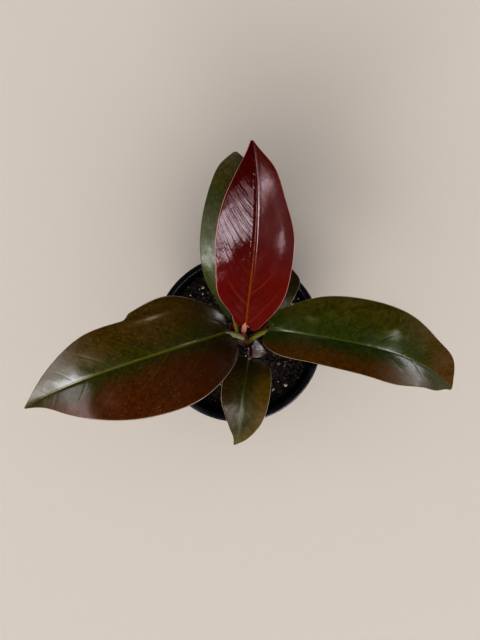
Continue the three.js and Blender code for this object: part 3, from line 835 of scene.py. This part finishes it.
def leaf_skin(name, inner, near_outer, far_outer, near_tip, far_tip, rib_colour, vein_share,
              margin_colour, fleck_share, sweep=0.33, side_veins=9.0, main_veins=6.0, far_side=1.0,
              rib_width=0.05, vein_fade=(0.7, 1.0), roughness=0.25, relief=0.18, spread=(0.1, 0.75),
              tip_from=0.75, mottle=0.28, painted_base_shade=0.0, far_dull=1.0):
    """The glossy upper skin: inner to outer colour away from the midrib, then towards the tip.
    Near is the blade's left half, seen from its joint, and far is its right half."""
    material, tree, shader = new_material(name, roughness)
    out = add_node(
        tree, "ShaderNodeGroup",
        {"Sweep": sweep, "Side veins": side_veins, "Main veins": main_veins, "Far side": far_side,
         "Midrib width": rib_width}, node_tree=LEAF_VEINS).outputs
    uneven = maths(tree, "MULTIPLY_ADD", out["Cloud"], 0.9, -0.45)
    reach = maths(tree, "ADD", out["Across"], uneven)
    outer = blend_colour(tree, out["Near half"], far_outer, near_outer)
    colour = blend_colour(tree, ramp(tree, reach, spread[0], spread[1]), inner, outer)
    far = maths(tree, "ADD", out["Along"], maths(tree, "MULTIPLY", uneven, 0.4))
    tip_colour = blend_colour(tree, out["Near half"], far_tip, near_tip)
    colour = blend_colour(tree, ramp(tree, far, tip_from, tip_from + 0.25), colour, tip_colour)
    # Darker where the fine veins and the mottle lie, which is the skin's own colour, and darker towards the
    # joint as painted shade.
    mottle_and_shade = ramp(tree, out["Fine vein"], 0.25, 0.75, 0.0, 0.22)
    mottle_and_shade = maths(tree, "ADD", mottle_and_shade, ramp(tree, out["Mottle"], 0.35, 0.65, 0.0, mottle))
    # Painted shade: the blade is blended towards black near its joint, as if shaded by the leaves above.
    mottle_and_shade = maths(tree, "MAXIMUM", mottle_and_shade, ramp(tree, out["Along"], 0.0, 0.35, painted_base_shade, 0.0))
    colour = blend_colour(tree, mottle_and_shade, colour, MOTTLE_AND_SHADE_BLACK)
    fade_start, fade_end = vein_fade
    vein_left = ramp(tree, out["Along"], fade_start, fade_end, vein_share, 0.0)
    colour = blend_colour(tree, maths(tree, "MULTIPLY", out["Main vein"], vein_left), colour, rib_colour)
    rib_left = ramp(tree, out["Along"], fade_start, fade_end + 0.1, 0.9, 0.1)
    colour = blend_colour(tree, maths(tree, "MULTIPLY", out["Midrib"], rib_left), colour, rib_colour)
    colour = blend_colour(tree, maths(tree, "MULTIPLY", out["Fleck"], fleck_share), colour, FLECK_COLOUR)
    colour = blend_colour(tree, out["Margin"], colour, margin_colour)
    tree.links.new(colour, shader.inputs["Base Color"])
    rough = ramp(tree, out["Cloud"], 0.38, 0.62, roughness * 0.6, roughness * 1.5)
    rough = maths(tree, "MULTIPLY_ADD", out["Mottle"], roughness * 0.4, rough)
    rough = maths(tree, "MULTIPLY", rough, ramp(tree, out["Near half"], 0.0, 1.0, far_dull, 1.0))
    tree.links.new(rough, shader.inputs["Roughness"])
    add_relief(tree, shader, out["Height"], strength=relief, depth=0.0004)
    shader.inputs["Specular IOR Level"].default_value = 0.26
    return material


def leaf_underside(name, colour, rib_colour):
    """The paler, duller lower skin, where the midrib stands out."""
    material, tree, shader = new_material(name, roughness=0.5)
    out = add_node(tree, "ShaderNodeGroup", node_tree=LEAF_VEINS).outputs
    dark = tuple(c * 0.6 for c in colour[:3]) + (1.0,)
    skin = blend_colour(tree, ramp(tree, out["Cloud"], 0.35, 0.65), dark, colour)
    skin = blend_colour(tree, maths(tree, "MULTIPLY", out["Side vein"], 0.35), skin, rib_colour)
    skin = blend_colour(tree, out["Midrib"], skin, rib_colour)
    tree.links.new(skin, shader.inputs["Base Color"])
    add_relief(tree, shader, out["Height"], strength=0.25, depth=0.0004, sunk=True)
    return material


green_underside = leaf_underside("underside_green", rgb(96, 104, 62), rgb(136, 138, 84))
red_underside = leaf_underside("underside_red", rgb(120, 34, 34), rgb(160, 84, 76))
# each midrib has four points in mm, the joint first, with its heights above the soil at the pot's wall
BLADES = {
    "left": dict(
        rib=[(-8, 7, 78), (-58, -8, 139), (-133, -30, 90), (-178, -57, 58)],
        left=dict(widths=(30, 43, 44, 36, 22, 8), lobe=4, fold=12, curl=-16),
        right=dict(widths=(26, 40, 35, 32, 21, 10), lobe=0, fold=12, curl=-16),
        swells=(
            (0.315, -0.73, 0.07, 0.06, 2.2), (0.28, -0.95, 0.12, 0.25, 3.0), (0.43, -0.95, 0.06, 0.2, -2.5)),
        roll=3,
        notch=(0.375, -1, 4.0), side_veins=6.0, quilt=0.06),
    "right": dict(
        rib=[(24, 9, 78), (79, 2, 125), (148, -7, 81), (182, -43, 44)],
        left=dict(widths=(19, 31, 35, 33, 24, 18), lobe=0, fold=6, curl=-10),
        right=dict(widths=(19, 22, 24, 25, 18, 12), lobe=2, fold=26, curl=-6),
        side_veins=6.0, quilt=0.05,
        swells=(
            (0.20, 0.45, 0.035, 0.12, 2.0), (0.26, 0.62, 0.03, 0.12, 1.8), (0.53, 0.55, 0.05, 0.16, 1.4))),
    "new": dict(
        rib=[(6, 14, 90), (9, 50, 121), (17, 85, 160), (9, 134, 168)],
        left=dict(widths=(12, 24, 28, 29, 24, 13), lobe=2, fold=26, curl=-8),
        right=dict(widths=(17.6, 26.4, 28.4, 27.4, 19.6, 12.7), lobe=6, fold=18, curl=-14),
        swells=((0.9, -0.6, 0.17, 0.5, 5.8), (0.55, -0.95, 0.24, 0.34, 2.0)),
        side_veins=15.0, sweep_share=0.38, quilt=0.13, lips=0.3, far_quilt=0.12),
    "back_left": dict(
        rib=[(-4, 20, 72), (-4, 51, 102), (-3, 110, 142), (-2, 146, 96)],
        left=dict(widths=(12, 23, 27, 25, 19, 12), lobe=2, fold=-4, curl=-26),
        right=dict(widths=(15, 24, 27, 25, 18, 10), lobe=2, fold=10, curl=-10),
        quilt=0.06, swells=((0.68, 0.15, 0.24, 0.45, 4.2),)),
    "front": dict(
        rib=[(9, -17, 48), (3, -43, 67), (4, -73, 48), (-4, -93, 30)],
        left=dict(widths=(19, 22, 22, 19, 13, 7), lobe=2, fold=14, curl=0),
        right=dict(widths=(15, 19, 19, 14, 8, 3), lobe=1, fold=14, curl=0),
        rows=60, columns=36, rib_scale=0.7, quilt=0.02, wave=0.4),
    "back_right": dict(
        rib=[(27, 18, 42), (30, 31, 51), (39, 47, 74), (41, 64, 58)],
        left=dict(widths=(12, 15, 15, 13, 9, 5), lobe=1, fold=12, curl=0),
        right=dict(widths=(10, 11, 12, 13, 13, 5), lobe=1, fold=12, curl=0),
        rows=48, columns=30, rib_scale=0.6, quilt=0.02, wave=0.3),
}
# Some skins are painted darker towards the joint, as shade from the leaves above.
SKINS = {
    "left": leaf_skin(
        "skin_bronze", rgb(66, 68, 16), rgb(94, 50, 7), rgb(86, 66, 14),
        rgb(90, 70, 20), rgb(80, 70, 22), rgb(98, 98, 24),
        vein_share=0.14, margin_colour=rgb(150, 140, 126), fleck_share=0.45,
        side_veins=6.0, roughness=0.19, relief=0.14, spread=(-0.05, 0.5), painted_base_shade=0.55),
    "right": leaf_skin(
        "skin_green", rgb(64, 76, 18), rgb(84, 76, 18), rgb(104, 68, 6),
        rgb(96, 68, 10), rgb(84, 84, 34), rgb(80, 94, 22),
        vein_share=0.12, margin_colour=rgb(140, 132, 110), fleck_share=0.3,
        side_veins=6.0, roughness=0.2, tip_from=0.6, painted_base_shade=0.25),
    "new": leaf_skin(
        "skin_red", rgb(98, 18, 3), rgb(104, 6, 1), rgb(102, 16, 2),
        rgb(82, 11, 5), rgb(84, 15, 6), rgb(136, 66, 20),
        vein_share=0.4, margin_colour=rgb(180, 132, 126), fleck_share=0.0,
        sweep=0.38, side_veins=15.0, main_veins=5.0, far_side=0.0, mottle=0.1,
        rib_width=0.085, vein_fade=(0.25, 0.5), roughness=0.085, relief=0.6, spread=(0.0, 0.5),
        tip_from=0.3, far_dull=2.0),
    "back_left": leaf_skin(
        "skin_sage", rgb(76, 82, 22), rgb(74, 80, 32), rgb(80, 82, 26),
        rgb(106, 90, 10), rgb(80, 84, 24), rgb(98, 104, 38),
        vein_share=0.1, margin_colour=rgb(120, 116, 90), fleck_share=0.3,
        roughness=0.32, tip_from=0.7, painted_base_shade=0.3),
    "front": leaf_skin(
        "skin_olive", rgb(64, 60, 8), rgb(98, 76, 8), rgb(72, 52, 6),
        rgb(96, 84, 22), rgb(92, 90, 28), rgb(74, 78, 16),
        vein_share=0.0, margin_colour=rgb(150, 144, 116), fleck_share=0.2,
        roughness=0.22, relief=0.06, painted_base_shade=0.65),
    "back_right": leaf_skin(
        "skin_brown", rgb(66, 68, 26), rgb(78, 60, 22), rgb(78, 64, 24),
        rgb(86, 60, 22), rgb(86, 60, 22), rgb(84, 82, 34),
        vein_share=0.15, margin_colour=rgb(176, 172, 160), fleck_share=0.1),
}
for leaf_name, shape in BLADES.items():
    blade = leaf_blade("blade_" + leaf_name, **shape)
    blade.data.materials.append(SKINS[leaf_name])
    blade.data.materials.append(red_underside if leaf_name == "new" else green_underside)
    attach(blade, "root")
    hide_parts("leaf_" + leaf_name)


# ---- Leaf stalks ---------------------------------------------------
# Each blade stands on a fleshy stalk that widens where it clasps the stem and runs on under
# the blade as its midrib. Old stalks are yellow-green, the newest and the front one red.
STALK_INTO_BLADE = 4.0
STALK_BELOW_BLADE = 1.6
STALK_SLENDER = 0.74
CLASP_SPREAD = 0.3
END_TAPER = 0.35
TAPER_FROM = 0.86
# each stalk has a foot, a bend and a joint in mm above the soil, a radius and a skin
STALKS = {
    "left": ((1, -2, 16), (0.5, 3.5, 58), (-8, 7, 78), 3.2, "cream"),
    "right": ((8, -3, 18), (17.5, 4.5, 46), (24, 9, 78), 3.0, "olive"),
    "new": ((4, 3, 24), (4.5, 8, 62), (6, 14, 90), 3.2, "pink"),
    "back_left": ((0, 4, 12), (-2, 12, 42), (-4, 20, 72), 2.8, "olive"),
    "front": ((8, -5, 10), (11, -9, 28), (9, -17, 48), 2.0, "dark_red"),
    "back_right": ((8, 2, 8), (20, 8, 16), (27, 18, 42), 2.0, "brown"),
}


def stalk_skin(name, low_colour, high_colour, streak_colour, turn=(0.1, 0.8)):
    """Satin skin with fine long streaks, its colour changing from the foot to the blade."""
    material, tree, shader = new_material(name, roughness=0.35)
    place = own_place(tree)
    share = add_node(tree, "ShaderNodeAttribute", attribute_name="share").outputs["Fac"]
    drawn_out = add_node(tree, "ShaderNodeMapping", {"Vector": place, "Scale": (1.0, 1.0, 0.12)}).outputs[0]
    streak = patchy(tree, drawn_out, scale=420.0, detail=4.0)
    colour = blend_colour(tree, ramp(tree, share, *turn), low_colour, high_colour)
    colour = blend_colour(tree, ramp(tree, streak, 0.5, 0.75, 0.0, 0.6), colour, streak_colour)
    tree.links.new(colour, shader.inputs["Base Color"])
    add_relief(tree, shader, streak, strength=0.2, depth=0.0003)
    shader.inputs["Coat Weight"].default_value = 0.2
    return material


STALK_SKINS = {
    "cream": stalk_skin(
        "stalk_cream", rgb(104, 44, 28), rgb(158, 156, 116), rgb(188, 184, 150), turn=(0.2, 0.5)),
    "olive": stalk_skin(
        "stalk_olive", rgb(120, 70, 34), rgb(124, 124, 34), rgb(164, 158, 88), turn=(0.0, 0.25)),
    "pink": stalk_skin(
        "stalk_pink", rgb(120, 26, 20), rgb(196, 138, 124), rgb(214, 172, 156), turn=(0.5, 0.8)),
    "brown": stalk_skin("stalk_brown", rgb(84, 14, 12), rgb(92, 44, 28), rgb(120, 70, 50)),
    "dark_red": stalk_skin(
        "stalk_dark_red", rgb(96, 14, 14), rgb(206, 184, 140), rgb(130, 46, 40), turn=(0.78, 0.92)),
    "sheath": stalk_skin("sheath_dark_red", rgb(96, 14, 18), rgb(96, 14, 18), rgb(130, 46, 50)),
}
for stalk_name, (foot, bend, joint, radius, skin_name) in STALKS.items():
    up = Vector((0, 0, SOIL_TOP))
    rib = BLADES[stalk_name]["rib"]
    into = (Vector(rib[1]) - Vector(rib[0])).normalized()
    end = Vector(joint) + into * STALK_INTO_BLADE - Vector((0, 0, STALK_BELOW_BLADE))
    path = path_through((Vector(foot) + up, Vector(bend) + up, end + up))

    def stalk_radius(share, angle, wide=radius):
        clasp = CLASP_SPREAD * max(0.0, 1 - share * 2.6) ** 1.5
        end_taper = END_TAPER * max(0.0, share - TAPER_FROM) / (1 - TAPER_FROM)
        return wide * (STALK_SLENDER + clasp - end_taper + 0.1 * max(0.0, share - 0.7))
    stalk = grown_rod("stalk_skin_" + stalk_name, path, stalk_radius, sides=18, rings=30)
    stalk.data.materials.append(STALK_SKINS[skin_name])
    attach(stalk, "root")
    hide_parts("stalk_" + stalk_name)


# ---- Sheaths -------------------------------------------------------
# Two leaf sheaths stay at the foot of the stem: a fresh dark red one, like a pointed boat, and
# an old one that has dried to grey-white paper with a ragged brown edge.
SHEATH_HALF = dict(widths=(3, 4, 4, 3.4, 2.4, 1.4), lobe=0, fold=30, curl=30)
cataphyll = leaf_blade(
    "sheath_red", [(-3, 7, 12), (-5, 9, 26), (-6, 11, 36), (-7, 13, 48)],
    left=SHEATH_HALF, right=SHEATH_HALF, rows=30, columns=16, rib_scale=0.3, wave=0.2)
cataphyll.data.materials.append(STALK_SKINS["sheath"])
cataphyll.data.materials.append(STALK_SKINS["sheath"])
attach(cataphyll, "root")
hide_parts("cataphyll")

dry_sheath = leaf_blade(
    "sheath_dry", [(12, -8, 6), (15, -10, 14), (19, -12, 17), (25, -13, 19)],
    left=dict(widths=(6, 8, 8, 7, 5, 3), lobe=0, fold=10, curl=20),
    right=dict(widths=(6, 8, 9, 7, 5, 3), lobe=0, fold=10, curl=20),
    rows=44, columns=32, rib_scale=0.3, wave=0.8, ragged=0.16)
paper_material, tree, shader = new_material("sheath_paper", roughness=0.6)
uv = add_node(tree, "ShaderNodeUVMap", uv_map="leaf").outputs["UV"]
along = add_node(tree, "ShaderNodeSeparateXYZ", {0: uv}).outputs["X"]
lengthwise = add_node(tree, "ShaderNodeMapping", {"Vector": uv, "Scale": (5.0, 26.0, 1.0)}).outputs[0]
wrinkle = patchy(tree, lengthwise, scale=1.0, detail=4.0)
# Grey-white paper in lengthwise streaks; the near-white streaks are painted highlights along its wrinkles.
paper_and_painted_sheen = blend_colour(tree, ramp(tree, wrinkle, 0.35, 0.7), rgb(156, 148, 142), rgb(250, 245, 248))
edge_share = ramp(tree, maths(tree, "MULTIPLY_ADD", wrinkle, 0.4, along), 0.95, 1.1)
paper_and_painted_sheen = blend_colour(tree, edge_share, paper_and_painted_sheen, rgb(140, 92, 58))
tree.links.new(paper_and_painted_sheen, shader.inputs["Base Color"])
add_relief(tree, shader, wrinkle, strength=0.7, depth=0.0006)
dry_sheath.data.materials.append(paper_material)
dry_sheath.data.materials.append(paper_material)
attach(dry_sheath, "root")
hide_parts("dry_sheath")
